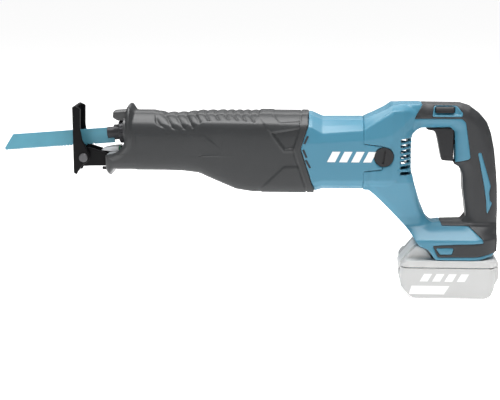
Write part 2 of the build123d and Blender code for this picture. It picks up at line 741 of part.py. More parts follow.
finish(shoe.part, "shoe")

with BuildPart() as shoe_arm:
    outline = [(6.5, -27), (7, -16), (14, -10), (18, -9.5), (37, -15.6), (39, arm_top), (arm_end, arm_top),
               (arm_end, arm_floor), (39.6, arm_floor), (37, -31), (11, -31.6)]
    add(prism(outline, -arm_half_width, arm_half_width))
    add(prism([(-20, 20), (-20, -60), (38, -29 + 0.5), (43, arm_floor + arm_sheet),
               (200, arm_floor + arm_sheet), (200, 20)], -arm_half_width + arm_sheet, arm_half_width - arm_sheet),
        mode=Mode.SUBTRACT)
    for side in (-1, 1):
        low, high = sorted((side * (arm_half_width - 0.5), side * (shoe_half_width - shoe_sheet - gap)))
        add(disc(facing_right(shoe_pin_x, low, shoe_pin_z), shoe_pin_radius + 2.5, high - low))
    add(disc(facing_right(shoe_pin_x, -30, shoe_pin_z), shoe_pin_radius, 60), mode=Mode.SUBTRACT)
    # Window in the right side for the lock button, as long as the shoe's travel.
    add(block((lock_x - lock_radius - free, lock_x + lock_radius + free + shoe_reach),
              (0, 40), (lock_z - lock_radius - free, lock_z + lock_radius + free)), mode=Mode.SUBTRACT)
finish(shoe_arm.part, "shoe_arm")

with BuildPart() as shoe_pin:
    add(disc(facing_right(shoe_pin_x, -shoe_half_width - 0.5, shoe_pin_z), shoe_pin_radius,
             2 * shoe_half_width + 1.0))
    for side in (-1, 1):
        low, high = sorted((side * (shoe_half_width + gap), side * (shoe_half_width + 2.2)))
        add(disc(facing_right(shoe_pin_x, low, shoe_pin_z), shoe_pin_radius + 2, high - low))
    fillet(shoe_pin.edges().filter_by(GeomType.CIRCLE).group_by(Axis.Y)[0], 0.9)
    fillet(shoe_pin.edges().filter_by(GeomType.CIRCLE).group_by(Axis.Y)[-1], 0.9)
finish(shoe_pin.part, "shoe_pin")

lock_travel = 4.0
with BuildPart() as shoe_lock_button:
    add(disc(facing_right(lock_x, arm_half_width - arm_sheet - 1, lock_z), lock_radius,
             nose_half_width + lock_travel - arm_half_width + arm_sheet + 1))
    fillet(shoe_lock_button.faces().sort_by(Axis.Y)[-1].edges(), 0.8)
finish(shoe_lock_button.part, "shoe_lock_button")

# ---------------------------------------------------------------- lamp under the blade
with BuildPart() as led_board:
    add(block((51.5, 53.0), (-7, 7), (-14.0, -8.6)))
finish(led_board.part, "led_board")

with BuildPart() as led_lens:
    add(prism([(30, -13.4), (34, -11.5), (43, -9.4), (51, -8.8), (51, -14.2), (42, -14.6)], -8, 8))
    fillet(led_lens.edges().filter_by(Axis.Y).group_by(Axis.X)[0], 0.5)
finish(led_lens.part, "led_lens")

# ---------------------------------------------------------------- handle
OUTLINE = [
    (split_x, 26.8), (346, 33), (357.2, 37.8), (365, 43), (393.6, 43.4), (441.3, 43), (452.7, 39.6),
    (464.3, 31.1), (471.4, 22.6), (476.3, 10), (480.4, -8.4), (483.6, -33.9), (485.2, -51.4), (486.3, -78),
    (486.4, -96), (486.2, -110), (486, -124), (480, -129.6), (466, dock_z), (415.5, dock_z), (407, -120.8),
    (396.5, -116.2), (387.1, -103.4), (352.1, -66.3), (338.2, -52.9), (split_x, -52.9),
]
FINGER_HOLE = [
    (387, 8.8), (391.5, 13.4), (397, 16), (430, 16.8), (435.5, 12), (437.2, -22), (434.5, -24.7),
    (440.8, -28.3), (444.2, -33.5), (445.7, -40), (446.6, -55.3), (449.3, -72.8), (450.8, -85.5), (445.8, -91.5),
    (421.5, -92.3), (411.6, -93.6), (405.4, -88), (397, -67.5), (389.6, -44.3), (387, -32.7), (386.4, -7.3),
]
grip_w, foot_w = handle_half_width, foot_half_width
STRUT_FRONT = [(34, -30), (34, -44), (grip_w + 1.5, -86), (grip_w + 1.5, -96), (foot_w - 1, -110),
               (foot_w, dock_z), (foot_w, -140)]


def handle_solid(inset):
    """The whole handle, both halves in one, with every outer face pulled in by inset."""
    start = [(split_x - 20, 26.8), *OUTLINE[1:-1], (split_x - 20, -52.9)] if inset else OUTLINE
    half = [(y - inset, z) for y, z in STRUT_FRONT]
    with BuildPart() as widths:
        add(skin_solid(REAR_STATIONS, inset, extend=1 if inset else 0))
        add(block((372, 500), (-grip_w + inset, grip_w - inset), (-140, 60)))
        with BuildSketch(Plane.YZ.offset(split_x)):
            with BuildLine():
                Polyline(*half, *[(-y, z) for y, z in reversed(half)], close=True)
            make_face()
        extrude(amount=170)
        add(block((412, 500), (grip_w - inset, 60), (-94, 0)), mode=Mode.SUBTRACT)
        add(block((412, 500), (-60, -grip_w + inset), (-94, 0)), mode=Mode.SUBTRACT)
    with BuildPart() as body:
        add(prism(start, inset=inset, hole=FINGER_HOLE))
        add(widths.part, mode=Mode.INTERSECT)
    return body.part


GRIP_REGION = [
    (398.5, 60), (398.5, 44), (388.6, 26.8), (442.3, 27), (446.9, 22.5), (453.3, -17.4), (451.6, -19.1),
    (436, -23.3), (430, -26), (436, -80), (418, -80), (419.4, -87), (423.1, -96.8), (453.4, -96.5),
    (467.3, -108.5), (470, -113.1), (440, -114), (411.5, -115.6), (418, -129.5), (466, -128.8),
    (482, -126), (500, -120), (500, 60),
]
INLAY = [(461.7, -11.9), (465.1, -11.3), (477.2, -49.8), (475.7, -56.7), (476.7, -67.2), (479.6, -69.5),
         (473.9, -83.6), (472.7, -66.1), (469.8, -48.7)]
BADGE = [(415.5, -118.7), (435.7, -118.4), (433.7, -125.4), (420.2, -125.6)]
LOCK_RECESS = [(412.2, 40.7), (411, 30.8), (440.8, 30.8), (441.6, 33.8), (435.6, 40.7)]
LOCK_FRAME = [(411.4, 41.4), (409.2, 29.4), (443, 29.4), (443.2, 33.4), (436.2, 41.4)]

louvres, louvre_top, louvre_pitch, louvre_half = 7, 3.2, 6.1, 1.7

handle_outer = handle_solid(0)
handle_inner = handle_solid(handle_wall)
grip_skin_limit = handle_solid(grip_rubber)
foot_pocket_top, foot_rail_top = -120.6, -128.4
rail_neck, rail_flange = 19.5, 24.0
dock_rear = 474.0
latch_width = 7.0
window_rear = trigger_rear + trigger_travel + 2 * free
trigger_window = [(402, 14), (418, 19.5), (window_rear, 19.5), (window_rear, -25.2), (431, -25.2), (431, 14)]
handle_screws_at = [(350, 20), (404, 36), (452, 32), (458, -33), (474, -100), (398, -99), (345, -46), (478.6, -120)]
switch_x, switch_z = (443.5, 468.0), (-24.0, 13.0)
terminal_x = (438.0, 468.0)

with BuildPart() as handle:
    add(handle_outer)
    with BuildPart(mode=Mode.PRIVATE) as rooms:
        add(handle_inner)
        # Floor over the battery's rails, and the wall that carries the rear motor bearing.
        add(block((380, 500), (-60, 60), (dock_z - 5, foot_pocket_top + 3)), mode=Mode.SUBTRACT)
        add(block((rear_bearing_x - 2, rear_bearing_x + motor_bearing_width + 2), (-60, 60), (-60, 18)),
            mode=Mode.SUBTRACT)
        for x, z in handle_screws_at:
            add(disc(facing_right(x, -40, z), 4.2, 80), mode=Mode.SUBTRACT)
    add(rooms.part, mode=Mode.SUBTRACT)
    add(block((rear_bearing_x - 3, rear_bearing_x), (-8, 8), (motor_z - 8, motor_z + 8)), mode=Mode.SUBTRACT)
    add(disc(across_x(rear_bearing_x), motor_bearing_radius, motor_bearing_width), mode=Mode.SUBTRACT)
    add(prism(TAB_OPENING, -60, -20), mode=Mode.SUBTRACT)
    add(prism(TAB_OPENING, 20, 60), mode=Mode.SUBTRACT)
    add(disc(brush_plane_left, cap_radius + gap, 50), mode=Mode.SUBTRACT)
    add(disc(brush_plane_right, cap_radius + gap, 50), mode=Mode.SUBTRACT)
    # Cooling slots at the rear corner of the motor, on both sides.
    for i in range(louvres):
        z = louvre_top - louvre_pitch * i
        slot = [(373, z + louvre_half), (392, z + louvre_half + 1), (392, z - louvre_half + 1),
                (373, z - louvre_half)]
        add(prism(slot, 14, 60), mode=Mode.SUBTRACT)
        add(prism(slot, -60, -14), mode=Mode.SUBTRACT)
    # Battery dock: a slot with an undercut, open to the front, and a groove for the latch.
    add(block((380, dock_rear), (-rail_neck - free, rail_neck + free), (dock_z - 5, foot_rail_top)),
        mode=Mode.SUBTRACT)
    add(block((380, dock_rear), (-rail_flange - free, rail_flange + free),
              (foot_rail_top - 0.01, foot_pocket_top)), mode=Mode.SUBTRACT)
    add(block((380, 421.5), (-latch_width - free, latch_width + free), (foot_pocket_top - 1, -117.6)),
        mode=Mode.SUBTRACT)
    add(block((terminal_x[0], terminal_x[1]), (-17, 17), (foot_pocket_top - 1, foot_pocket_top + 4)),
        mode=Mode.SUBTRACT)
    # Window of the trigger, and the recess and bore of the lock-off button.
    add(prism(trigger_window, -trigger_half_width - free, trigger_half_width + free), mode=Mode.SUBTRACT)
    add(prism(LOCK_RECESS, grip_w - 3, 60), mode=Mode.SUBTRACT)
    add(prism(LOCK_RECESS, -60, -grip_w + 3), mode=Mode.SUBTRACT)
    add(block((413 - free, 434 + free), (-60, 60), (33.5 - free, 40.2 + free)), mode=Mode.SUBTRACT)
    for x, z in handle_screws_at:
        add(disc(facing_right(x, -10, z), 1.6, 80), mode=Mode.SUBTRACT)
        add(disc(facing_right(x, 6, z), 3.4, 60), mode=Mode.SUBTRACT)

with BuildPart() as grip_skin:
    add(handle_outer)
    add(grip_skin_limit, mode=Mode.SUBTRACT)
    with BuildPart(mode=Mode.PRIVATE) as region:
        add(prism(GRIP_REGION))
        add(prism(INLAY), mode=Mode.SUBTRACT)
        add(prism(BADGE), mode=Mode.SUBTRACT)
        add(prism(LOCK_FRAME, grip_w - 3.2, 60), mode=Mode.SUBTRACT)
        add(prism(LOCK_FRAME, -60, -grip_w + 3.2), mode=Mode.SUBTRACT)
    add(region.part, mode=Mode.INTERSECT)
    add(prism(trigger_window, -trigger_half_width - free, trigger_half_width + free), mode=Mode.SUBTRACT)
    for x, z in handle_screws_at:
        add(disc(facing_right(x, 6, z), 3.4, 60), mode=Mode.SUBTRACT)
    add(block((380, dock_rear), (-rail_flange - free, rail_flange + free), (dock_z - 5, foot_pocket_top)),
        mode=Mode.SUBTRACT)

for side, low, high in (("left", -60, 0), ("right", 0, 60)):
    with BuildPart() as rubber:
        add(grip_skin.part)
        add(block((300, 520), (low, high), (-200, 80)), mode=Mode.INTERSECT)
    finish(rubber.part, f"grip_rubber_{side}")
    with BuildPart() as shell:
        add(handle.part)
        add(grip_skin.part, mode=Mode.SUBTRACT)
        add(block((300, 520), (low, high), (-200, 80)), mode=Mode.INTERSECT)
    finish(shell.part, f"handle_{side}")

with BuildPart() as handle_screws:
    for x, z in handle_screws_at:
        add(screw(Plane(origin=(x, 6, z), x_dir=(1, 0, 0), z_dir=(0, -1, 0)), 3.2, 2.4, 1.5, 15))
finish(handle_screws.part, "handle_screws")

# ---------------------------------------------------------------- switch, trigger and lock-off button
with BuildPart() as trigger:
    add(prism([(402.5, 15.2), (405.3, 13.1), (411.5, 12.2), (414.2, 9.5), (415.7, 5.1), (421.3, -21.2),
               (422.3, -22), (trigger_rear, -22.8), (trigger_rear, 14), (431, 15.6)],
              -trigger_half_width, trigger_half_width))
    fillet(trigger.edges().filter_by(Axis.Y).group_by(Axis.X)[0], 0.3)
    add(disc(facing_rear(434, 0, -2), 2.6, 22))
finish(trigger.part, "trigger")

with BuildPart() as switch_body:
    add(block(switch_x, (-11, 11), switch_z))
    add(disc(facing_rear(switch_x[0] - 1, 0, -2), 3.1, 22), mode=Mode.SUBTRACT)
    for y in (-6, 6):
        add(block((switch_x[1] - 0.1, switch_x[1] + 2.5), (y - 2, y + 2), (-18, -10)))
finish(switch_body.part, "switch_body")

lock_off_travel = 5.0
with BuildPart() as lock_off_button:
    add(block((413, 434), (-grip_w + 0.2, grip_w - lock_off_travel), (33.5, 40.2)))
    fillet(lock_off_button.faces().sort_by(Axis.Y)[0].edges(), 1.0)
    fillet(lock_off_button.faces().sort_by(Axis.Y)[-1].edges(), 1.0)
finish(lock_off_button.part, "lock_off_button")

# ---------------------------------------------------------------- battery terminals in the foot
contact_y = (-11.0, 11.0)
with BuildPart() as terminal_block:
    add(block((terminal_x[0] + gap, terminal_x[1] - gap), (-16.8, 16.8), (foot_pocket_top, foot_pocket_top + 6.8)))
    for y in contact_y:
        add(block((441, 462), (y - 0.5, y + 0.5), (-130, -100)), mode=Mode.SUBTRACT)
finish(terminal_block.part, "terminal_block")

with BuildPart() as terminal_contacts:
    for y in contact_y:
        add(block((441, 462), (y - 0.5, y + 0.5), (-128.4, foot_pocket_top + 9)))
finish(terminal_contacts.part, "terminal_contacts")

# ---------------------------------------------------------------- battery pack
deck_z = dock_z - 0.4
CASE_SIDE = [
    (battery_front, -138.6), (381.8, deck_z), (battery_rear, deck_z), (battery_rear - 0.5, -164.9), (478.8, -173.8),
    (472, battery_floor), (394, battery_floor), (388.5, -175.6), (battery_front + 0.2, -164),
]
HOOD = [(381.4, deck_z - 0.5), (381.5, -133.2), (393.2, -118.9), (396, -118.2), (404.8, -121.8),
        (413.2, deck_z - 0.5)]
REAR_LIP = [(483.4, -133.2), (486.5, -134.5), (488.2, -137), (488.2, -155), (483.2, -164.5)]
lip_half_width = 29.0
BUTTON = [(374.6, -147), (374.6, -142), (376, -139.2), (392, -120), (394.6, -118.6), (398.5, -119.6),
          (402, -121), (398, -124.6), (394.6, -124.6), (382, -139.4), (382, -147)]
button_half_width = 14.0
button_travel = 4.0


def case_solid(inset):
    """The battery pack's outside without its rails, pulled in by inset."""
    with BuildPart() as box:
        with BuildSketch(Plane.XY.offset(battery_floor + inset)):
            with Locations(((battery_front + battery_rear) / 2, 0)):
                RectangleRounded(battery_rear - battery_front - 2 * inset, 2 * (battery_half_width - inset),
                                 8 - inset)
        extrude(amount=deck_z - battery_floor - 2 * inset)
        add(prism(CASE_SIDE, inset=inset), mode=Mode.INTERSECT)
    return box.part


with BuildPart() as battery_case:
    add(case_solid(0))
    add(prism(HOOD, -27, 27))
    add(prism(REAR_LIP, -lip_half_width, lip_half_width))
    add(block((399, dock_rear - 1.5), (-rail_neck, rail_neck), (deck_z - 1, foot_rail_top)))
    add(block((399, dock_rear - 1.5), (-rail_flange, rail_flange), (foot_rail_top + free, foot_pocket_top - free)))
    add(case_solid(case_wall), mode=Mode.SUBTRACT)
    # Room for the button and its latch, with the travel below it.
    steps = 7
    for step in range(steps + 1):
        drop = (button_travel + free) * step / steps
        add(prism([(x, z - drop) for x, z in BUTTON], -button_half_width - free, button_half_width + free,
                  inset=-free), mode=Mode.SUBTRACT)
    add(block((394, 421), (-latch_width - free, latch_width + free), (-131, -112)), mode=Mode.SUBTRACT)
    add(block((386, 421), (-latch_width - free, latch_width + free), (-131, -121)), mode=Mode.SUBTRACT)
    for y in contact_y:
        add(block((438, 500), (y - 1.2, y + 1.2), (-129.4, -110)), mode=Mode.SUBTRACT)

with BuildPart() as battery_case_top:
    add(battery_case.part)
    add(block((360, 500), (-60, 60), (battery_split, -100)), mode=Mode.INTERSECT)
finish(battery_case_top.part, "battery_case_top")

with BuildPart() as battery_case_lower:
    add(battery_case.part)
    add(block((360, 500), (-60, 60), (-190, battery_split)), mode=Mode.INTERSECT)
finish(battery_case_lower.part, "battery_case_lower")

with BuildPart() as battery_button:
    add(prism(BUTTON, -button_half_width, button_half_width))
    # Latch tongue: it reaches back under the foot and ends in a tooth that stands in the foot's groove.
    add(block((395, 420), (-latch_width, latch_width), (-124.6, -121.8)))
    add(prism([(411, -122), (420, -122), (420, -118.2), (416, -118.2)], -latch_width, latch_width))
finish(battery_button.part, "battery_button")

cell_pitch = 2 * cell_radius + 0.3
cell_rows = (battery_floor + case_wall + 0.3 + cell_radius, battery_floor + case_wall + 0.8 + 3 * cell_radius)
cells_front = battery_front + cell_radius + 8.6
with BuildPart() as battery_cells:
    for row in cell_rows:
        for i in range(5):
            add(disc(facing_right(cells_front + i * cell_pitch, -cell_length / 2, row), cell_radius, cell_length))
finish(battery_cells.part, "battery_cells")

with BuildPart() as battery_board:
    add(block((432, 478), (-26, 26), (-137.4, -135.8)))
finish(battery_board.part, "battery_board")

# ---------------------------------------------------------------- wiring inside the handle
wire_radius = 1.4
with BuildPart() as motor_leads:
    for y in (-7.5, 7.5):
        with BuildLine() as route:
            FilletPolyline(
                (brush_x + 5, y, 20), (brush_x + 25, y, 24.5), (456, y, 24.5), (456, y, 13.4),
                radius=5,
            )
        with BuildSketch(Plane(origin=route.line @ 0, z_dir=route.line % 0)):
            Circle(wire_radius)
        sweep()
finish(motor_leads.part, "motor_leads")
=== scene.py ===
"""Looks of the cordless reciprocating saw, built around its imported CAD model.

The camera and the studio come first, then the pieces in the order in which the saw is put together.
Outlines and sections are written in millimetres and become metres when a mesh is made.
"""

import json
import math

import bmesh
import bpy
import numpy as np
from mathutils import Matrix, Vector


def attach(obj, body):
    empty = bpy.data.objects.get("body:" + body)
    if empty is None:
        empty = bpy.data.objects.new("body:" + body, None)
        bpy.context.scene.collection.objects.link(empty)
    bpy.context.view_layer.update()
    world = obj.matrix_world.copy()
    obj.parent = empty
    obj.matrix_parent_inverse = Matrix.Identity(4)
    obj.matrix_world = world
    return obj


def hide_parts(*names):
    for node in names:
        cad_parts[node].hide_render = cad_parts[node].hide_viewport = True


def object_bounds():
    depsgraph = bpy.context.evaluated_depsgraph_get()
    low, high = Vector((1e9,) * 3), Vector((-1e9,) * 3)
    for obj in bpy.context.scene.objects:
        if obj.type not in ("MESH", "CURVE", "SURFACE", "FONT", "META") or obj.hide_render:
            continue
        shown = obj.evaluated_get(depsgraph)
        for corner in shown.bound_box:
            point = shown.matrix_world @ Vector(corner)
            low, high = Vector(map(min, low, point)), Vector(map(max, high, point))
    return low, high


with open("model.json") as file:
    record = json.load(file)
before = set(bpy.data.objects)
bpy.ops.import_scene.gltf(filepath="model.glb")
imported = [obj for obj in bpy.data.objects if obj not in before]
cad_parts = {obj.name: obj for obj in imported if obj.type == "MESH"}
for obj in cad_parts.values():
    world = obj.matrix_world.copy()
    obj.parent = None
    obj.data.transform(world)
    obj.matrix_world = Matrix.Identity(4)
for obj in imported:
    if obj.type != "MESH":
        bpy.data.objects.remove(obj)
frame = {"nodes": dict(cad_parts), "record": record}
cad_low, cad_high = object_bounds()
MM = 0.001

# ---------------------------------------------------------------- camera
# A long lens a little above the saw and slightly behind square, as a catalogue view is taken.
view_azimuth, view_elevation, view_distance = math.radians(3.0), math.radians(11.5), 1.5
view_target = Vector((0.2025, 0.0, -0.072))
view_back = Vector((
    math.sin(view_azimuth) * math.cos(view_elevation),
    -math.cos(view_azimuth) * math.cos(view_elevation),
    math.sin(view_elevation),
))
lens = bpy.data.cameras.new("camera")
lens.lens = 92.86
lens.sensor_width = 36.0
camera = bpy.data.objects.new("camera", lens)
camera.location = view_target + view_back * view_distance
camera.rotation_mode = "QUATERNION"
camera.rotation_quaternion = (-view_back).to_track_quat("-Z", "Y")
bpy.context.scene.collection.objects.link(camera)
bpy.context.scene.camera = camera

# ---------------------------------------------------------------- studio
# A lit white card under the saw, a large soft box overhead, weak ones in front and behind, and a room that is dim
# near the horizon and pale above but reads as a white backdrop.
bpy.context.scene.view_settings.view_transform = "Standard"
floor_drop, floor_size = 0.0005, 40.0
floor_glow = 0.58
bpy.ops.object.select_all(action="DESELECT")
bpy.ops.mesh.primitive_plane_add(size=floor_size, location=(0.2, 0.0, cad_low.z - floor_drop))
floor = bpy.context.active_object
floor.name = "studio_floor"
card = bpy.data.materials.new("white_card")
card.use_nodes = True
card_shader = card.node_tree.nodes["Principled BSDF"]
card_shader.inputs["Base Color"].default_value = (0.93, 0.93, 0.93, 1)
card_shader.inputs["Roughness"].default_value = 0.9
card_shader.inputs["Emission Color"].default_value = (1, 1, 1, 1)
card_shader.inputs["Emission Strength"].default_value = floor_glow
floor.data.materials.append(card)


def soft_box(name, place, aim, width, height, watts):
    """A rectangular studio lamp that looks from its place towards its aim."""
    light = bpy.data.lights.new(name, "AREA")
    light.shape = "RECTANGLE"
    light.size = width
    light.size_y = height
    light.energy = watts
    lamp = bpy.data.objects.new(name, light)
    lamp.location = place
    lamp.rotation_mode = "QUATERNION"
    lamp.rotation_quaternion = (Vector(aim) - Vector(place)).to_track_quat("-Z", "Y")
    bpy.context.scene.collection.objects.link(lamp)


soft_box("box_overhead", (0.2, -0.12, 1.3), (0.2, 0.0, 0.0), 1.7, 0.8, 36)
soft_box("box_front", (-0.2, -1.9, 0.9), (0.2, 0.0, -0.05), 1.2, 0.8, 1.5)
soft_box("box_behind", (0.2, 1.4, 1.0), (0.2, 0.0, 0.0), 1.6, 0.6, 7)
dim_below, pale_above = 0.07, 0.50
room = bpy.data.worlds.new("pale_room")
room.use_nodes = True
room_nodes, room_links = room.node_tree.nodes, room.node_tree.links
room_nodes["Background"].inputs["Color"].default_value = (1, 1, 1, 1)
facing = room_nodes.new("ShaderNodeTexCoord")
direction = room_nodes.new("ShaderNodeSeparateXYZ")
room_links.new(facing.outputs["Generated"], direction.inputs["Vector"])
brightness = room_nodes.new("ShaderNodeMapRange")
brightness.inputs["From Min"].default_value = 0.05
brightness.inputs["From Max"].default_value = 0.75
brightness.inputs["To Min"].default_value = dim_below
brightness.inputs["To Max"].default_value = pale_above
room_links.new(direction.outputs["Z"], brightness.inputs["Value"])
seen = room_nodes.new("ShaderNodeLightPath")
backdrop = room_nodes.new("ShaderNodeMath")
backdrop.operation = "MAXIMUM"
room_links.new(seen.outputs["Is Camera Ray"], backdrop.inputs[0])
room_links.new(brightness.outputs["Result"], backdrop.inputs[1])
room_links.new(backdrop.outputs["Value"], room_nodes["Background"].inputs["Strength"])
bpy.context.scene.world = room

# ---------------------------------------------------------------- rubber cover over the gear housing
# One moulding of dark rubber, pulled over the cast nose and held by its own stretch. It has a raised rim round
# the mouth, a hand hold of overlapping scales on the shoulder, and a bead along the chevron seam at the rear.


def moulded(name, colour, roughness, grain=1400.0, depth=0.05, drift=0.05, metal=0.0, coat=0.0, stretch=(1, 1, 1),
            shine=0.5):
    """Plastic, rubber or metal: the colour drifts slowly, and a fine grain breaks up gloss and surface."""
    material = bpy.data.materials.new(name)
    material.use_nodes = True
    nodes, links = material.node_tree.nodes, material.node_tree.links
    shader = nodes["Principled BSDF"]
    place = nodes.new("ShaderNodeTexCoord")
    mapping = nodes.new("ShaderNodeMapping")
    mapping.inputs["Scale"].default_value = stretch
    links.new(place.outputs["Object"], mapping.inputs["Vector"])
    cloud = nodes.new("ShaderNodeTexNoise")
    cloud.inputs["Scale"].default_value = 38.0
    cloud.inputs["Detail"].default_value = 4.0
    links.new(place.outputs["Object"], cloud.inputs["Vector"])
    tint = nodes.new("ShaderNodeMix")
    tint.data_type = "RGBA"
    tint.inputs["A"].default_value = (*[channel * (1 - drift) for channel in colour], 1)
    tint.inputs["B"].default_value = (*[min(1.0, channel * (1 + drift)) for channel in colour], 1)
    links.new(cloud.outputs["Fac"], tint.inputs["Factor"])
    links.new(tint.outputs["Result"], shader.inputs["Base Color"])
    fine = nodes.new("ShaderNodeTexNoise")
    fine.inputs["Scale"].default_value = grain
    fine.inputs["Detail"].default_value = 2.0
    links.new(mapping.outputs["Vector"], fine.inputs["Vector"])
    gloss = nodes.new("ShaderNodeMapRange")
    gloss.inputs["To Min"].default_value = roughness * 0.85
    gloss.inputs["To Max"].default_value = min(1.0, roughness * 1.15)
    links.new(fine.outputs["Fac"], gloss.inputs["Value"])
    links.new(gloss.outputs["Result"], shader.inputs["Roughness"])
    bump = nodes.new("ShaderNodeBump")
    bump.inputs["Strength"].default_value = depth
    bump.inputs["Distance"].default_value = 0.0004
    links.new(fine.outputs["Fac"], bump.inputs["Height"])
    links.new(bump.outputs["Normal"], shader.inputs["Normal"])
    shader.inputs["Metallic"].default_value = metal
    shader.inputs["Coat Weight"].default_value = coat
    shader.inputs["Coat Roughness"].default_value = 0.15
    shader.inputs["Specular IOR Level"].default_value = shine
    return material


finishes = {}  # by the record's material slots; each section adds those of its pieces
finishes["cover_rubber"] = moulded(
    "cover_rubber", (0.026, 0.0275, 0.029), 0.38, grain=1500, depth=0.07, shine=0.42
)
cover_wall = 2.4
around, lengthwise = 256, 250
COVER_SECTIONS = np.array([
    # x, half width, top, bottom, half width of the flat top, widest height, depth of the shoulder
    (39.5, 29.5, 33.0, -33.4, 13, 6, 14),
    (92.0, 30.0, 33.0, -33.4, 13, 6, 14),
    (108.0, 30.0, 30.6, -33.4, 13, 6, 12),
    (128.0, 31.0, 31.0, -33.8, 14, 6, 12),
    (146.0, 33.0, 32.8, -35.6, 17, 8, 12),
    (172.0, 35.8, 33.2, -47.0, 18, 8, 12),
    (188.0, 36.6, 33.2, -53.6, 18, 7, 12),
    (206.0, 37.2, 33.2, -56.3, 18, 6, 12),
    (262.0, 37.6, 33.2, -56.4, 18, 3, 14),
    (279.0, 37.6, 33.0, -56.4, 18, 2, 14),
])
MOUTH_EDGE = [(62, 60), (62, 4), (60, -5), (54, -11), (46, -14.5), (39.5, -15), (39.5, -60)]
SCALE_LINES = [116, 128, 140.4, 152, 163.5, 175.2, 187, 198.5, 208, 217, 226.3, 236]
HOLD_EDGE = [(90, 31), (97.7, 19), (107.3, 14), (123.9, 12.7), (139.1, 14.2), (146, 20), (152, 23.5),
             (179, 25), (205, 24), (214, 20)]


def ease(value):
    """0 to 1 with level ends."""
    value = np.clip(value, 0, 1)
    return value * value * (3 - 2 * value)


def edge_distance(x, z, corners, closed=False):
    """Distance in side view from points to an outline."""
    corners = np.array(corners, float)
    starts, ends = (corners, np.roll(corners, -1, axis=0)) if closed else (corners[:-1], corners[1:])
    near = np.full(np.shape(x), 1e9)
    for (ax, az), (bx, bz) in zip(starts, ends):
        dx, dz = bx - ax, bz - az
        t = np.clip(((x - ax) * dx + (z - az) * dz) / (dx * dx + dz * dz), 0, 1)
        near = np.minimum(near, np.hypot(x - ax - t * dx, z - az - t * dz))
    return near


def patch(x, z, corners, soft):
    """1 within a side-view outline, 0 outside it, with an eased edge."""
    within = np.zeros(np.shape(x), bool)
    for (ax, az), (bx, bz) in zip(corners, corners[1:] + corners[:1]):
        if az != bz:
            within ^= ((az > z) != (bz > z)) & (x < ax + (z - az) * (bx - ax) / (bz - az))
    signed = np.where(within, 1, -1) * edge_distance(x, z, corners, closed=True)
    return ease(signed / soft + 0.5)


def cover_section(x):
    """Outline (y, z) of the cover across x: corners first, then cut round three times."""
    width, top, bottom, flat, belt, bevel = (
        np.interp(x, COVER_SECTIONS[:, 0], COVER_SECTIONS[:, k]) for k in range(1, 7)
    )
    half = np.array([
        (flat, top - 0.6),
        ((flat + width - 2) / 2, top - bevel * 0.42),
        (width - 2.0, top - bevel),
        (width, belt),
        (width, bottom + 9),
        (width - 1.8, bottom + 3.4),
        (width - 6, bottom + 0.5),
        (width - 13, bottom),
    ])
    points = np.vstack([half, half[::-1] * (-1, 1)])
    for _ in range(3):
        after = np.roll(points, -1, axis=0)
        points = np.stack([0.8 * points + 0.2 * after, 0.2 * points + 0.8 * after], axis=1).reshape(-1, 2)
    points = np.vstack([points, points[:1]])
    length = np.concatenate([[0], np.cumsum(np.hypot(*np.diff(points, axis=0).T))])
    even = np.linspace(0, length[-1], around, endpoint=False)
    return np.column_stack([np.interp(even, length, points[:, 0]), np.interp(even, length, points[:, 1])])


def cover_relief(x, y, z):
    """Height of the moulded details over the plain surface, in millimetres."""
    slant = x + 0.72 * z
    part = np.interp(slant, SCALE_LINES, np.arange(len(SCALE_LINES)))
    phase = part - np.floor(part)
    scale = np.abs(np.sin(np.pi * phase)) ** 0.5 * (0.7 + 0.3 * phase)
    edge = np.interp(x, *zip(*HOLD_EDGE))
    hold = ease((z - edge) / 2.6) * ease((x - 94) / 4) * ease((217 - x - 0.6 * (34 - z)) / 4)
    height = hold * (scale * 2.2 - 2.0)
    # The side below the step line stands proud as a long panel.
    step = np.interp(x, [60, 152.4, 165, 180], [7.6, 8.2, -1.5, -14])
    height += 0.5 * ease((step - z) / 0.8 + 0.5) * ease((178 - x) / 26) * ease((x - 72) / 3) * (np.abs(y) > 18)
    # Facets of the rear grip, with the sunk one behind them.
    height += 0.8 * patch(x, z, [(211, 42), (212.7, 31.5), (226.4, 13.4), (242, -9), (300, -9), (300, 42)], 0.9)
    height -= 2.0 * patch(x, z, [(228.6, 12.6), (263, 18.3), (254.5, -4.5), (243.5, -6.3)], 1.2)
    height -= 0.8 * patch(x, z, [(230, 42), (229.6, 30.5), (238, 22.8), (262, 24.4), (262, 42)], 1.3)
    height += 0.7 * patch(x, z, [(216, -52), (242.5, -26.1), (300, -25.2), (300, -90), (228, -90)], 1.5)
    return height


def cover_rim(x, y, z):
    """Height of the rim round the mouth: highest at the brow and the chin, lower on the sides."""
    ahead = edge_distance(x, z, MOUTH_EDGE)
    turn = np.arctan2(z, np.abs(y))
    brow, chin = ease((turn - 0.45) / 0.75), ease((-turn - 0.75) / 0.5)
    tall = 3.2 + 4.4 * brow + 4.6 * chin
    front = 0.62 + 0.38 * ease(ahead / 2.6)
    crest, foot = 3.4, 8.6 + 2.4 * brow
    return tall * front * (1 - ease((ahead - crest) / (foot - crest))) ** 1.2


def seam_x(z):
    """Side view of the chevron seam: distance behind the shoe at height z."""
    return np.interp(z, [-70, -51, -5.3, 20, 60], [278.0, 276.0, 261.2, 269.5, 270.5])


def mouth_x(z):
    """Side view of the front edge: distance behind the shoe at height z."""
    return np.interp(z, [-40, -15.2, -14.2, -11, -5, 4, 60], [39.5, 39.5, 47, 54, 60, 62, 62])


